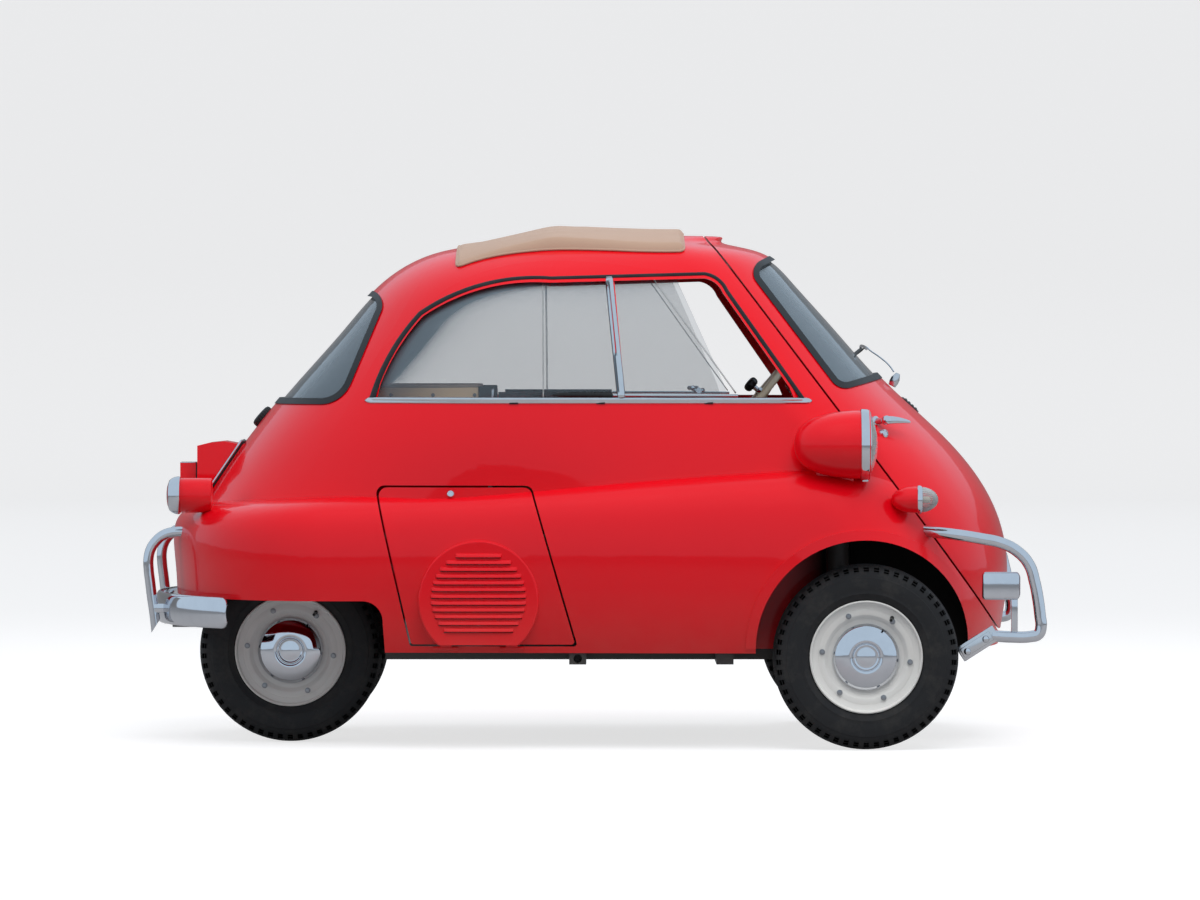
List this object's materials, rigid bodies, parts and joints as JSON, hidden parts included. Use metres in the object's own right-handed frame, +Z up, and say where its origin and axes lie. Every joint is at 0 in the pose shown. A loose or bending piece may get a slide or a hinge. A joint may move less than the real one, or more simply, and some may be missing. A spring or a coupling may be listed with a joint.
{
  "type": "bubble car",
  "caption": "Egg-shaped two-seat microcar with one swinging front door, cloth roof patch, steered front wheels and a close-set rear pair.",
  "frame": {"origin": "on the ground below the middle of the overall length and width", "axes": "+X forward, +Y to the car's left, +Z up"},
  "size_m": [2.3569, 1.428, 1.3538],
  "materials": {
    "body_paint": "gloss",
    "black_paint": "satin",
    "wheel_paint": "gloss",
    "grey_paint": "satin",
    "chrome": "polished",
    "steel": "satin",
    "cast": "rough",
    "tyre": "matt",
    "seal_rubber": "matt",
    "window_glass": "clear",
    "lamp_glass": "clear",
    "red_lens": "gloss",
    "cloth": "woven",
    "seat_cloth": "woven",
    "cream_plastic": "gloss",
    "black_plastic": "satin"
  },
  "bodies": {
    "body": {"side_panel_left": "body_paint", "side_panel_right": "body_paint", "roof_panel": "body_paint", "tail_panel": "body_paint", "rear_window_seal": "seal_rubber", "rear_window_glass": "window_glass", "side_window_frames": "seal_rubber", "side_windows": "window_glass", "fabric_roof": "cloth", "front_axle_beam": "black_paint", "rear_axle_case": "black_paint", "chassis_frame": "black_paint", "silencer": "steel", "engine_block": "cast", "cabin_floor": "grey_paint", "rear_shelf": "grey_paint", "parcel_tray": "cloth", "seat_box": "grey_paint", "seat_cushion": "seat_cloth", "seat_back": "seat_cloth", "pedals": "black_plastic", "gear_lever": "black_plastic", "headlamp_pods": "body_paint", "headlamp_lenses": "lamp_glass", "turn_lamps": "red_lens", "tail_lamps": "red_lens", "plate_housing": "body_paint", "filler_cap": "black_plastic", "front_bumpers": "chrome", "rear_bumper": "chrome"},
    "front_door": {"front_door": "body_paint", "windscreen_seal": "seal_rubber", "windscreen_glass": "window_glass", "door_handle": "chrome", "wiper": "black_plastic", "steering_column": "cream_plastic"},
    "steering_wheel": {"steering_wheel": "cream_plastic"},
    "engine_panel": {"engine_panel": "body_paint"},
    "knuckle_right": {"knuckle_right": "black_paint"},
    "knuckle_left": {"knuckle_left": "black_paint"},
    "front_wheel_right": {"front_tyre_right": "tyre", "front_wheel_right": "wheel_paint", "front_hubcap_right": "chrome"},
    "front_wheel_left": {"front_tyre_left": "tyre", "front_wheel_left": "wheel_paint", "front_hubcap_left": "chrome"},
    "rear_axle": {"rear_axle_shaft": "steel", "rear_tyre_left": "tyre", "rear_tyre_right": "tyre", "rear_wheel_left": "wheel_paint", "rear_wheel_right": "wheel_paint", "rear_hubcap_left": "chrome", "rear_hubcap_right": "chrome"}
  },
  "joints": [
    {"name": "door_hinge", "type": "hinge", "parent": "body", "child": "front_door", "pos_m": [0.96, 0.562, 0.48], "axis": [0, 0, 1], "range_deg": [0, 70]},
    {"name": "steer_right", "type": "hinge", "parent": "body", "child": "knuckle_right", "pos_m": [0.703, -0.515, 0.24], "axis": [0, 0, 1], "range_deg": [-25, 25]},
    {"name": "steer_left", "type": "hinge", "parent": "body", "child": "knuckle_left", "pos_m": [0.703, 0.515, 0.24], "axis": [0, 0, 1], "range_deg": [-25, 25]},
    {"name": "steering_wheel_turn", "type": "hinge", "parent": "front_door", "child": "steering_wheel", "pos_m": [0.39, 0.3, 0.83], "axis": [-0.77, 0, 0.638], "range_deg": [-300, 300]},
    {"name": "front_right_wheel_spin", "type": "hinge", "parent": "knuckle_right", "child": "front_wheel_right", "pos_m": [0.703, -0.6, 0.24], "axis": [0, 1, 0], "continuous": true},
    {"name": "front_left_wheel_spin", "type": "hinge", "parent": "knuckle_left", "child": "front_wheel_left", "pos_m": [0.703, 0.6, 0.24], "axis": [0, 1, 0], "continuous": true},
    {"name": "rear_axle_spin", "type": "hinge", "parent": "body", "child": "rear_axle", "pos_m": [-0.797, 0, 0.24], "axis": [0, 1, 0], "continuous": true},
    {"name": "engine_panel_hinge", "type": "hinge", "parent": "body", "child": "engine_panel", "pos_m": [-0.3, -0.632, 0.262], "axis": [1, 0, 0], "range_deg": [0, 60]}
  ],
  "couplings": [
    {"joint": "steer_left", "follows": "steer_right", "ratio": 1},
    {"joint": "steering_wheel_turn", "follows": "steer_right", "ratio": 12}
  ]
}
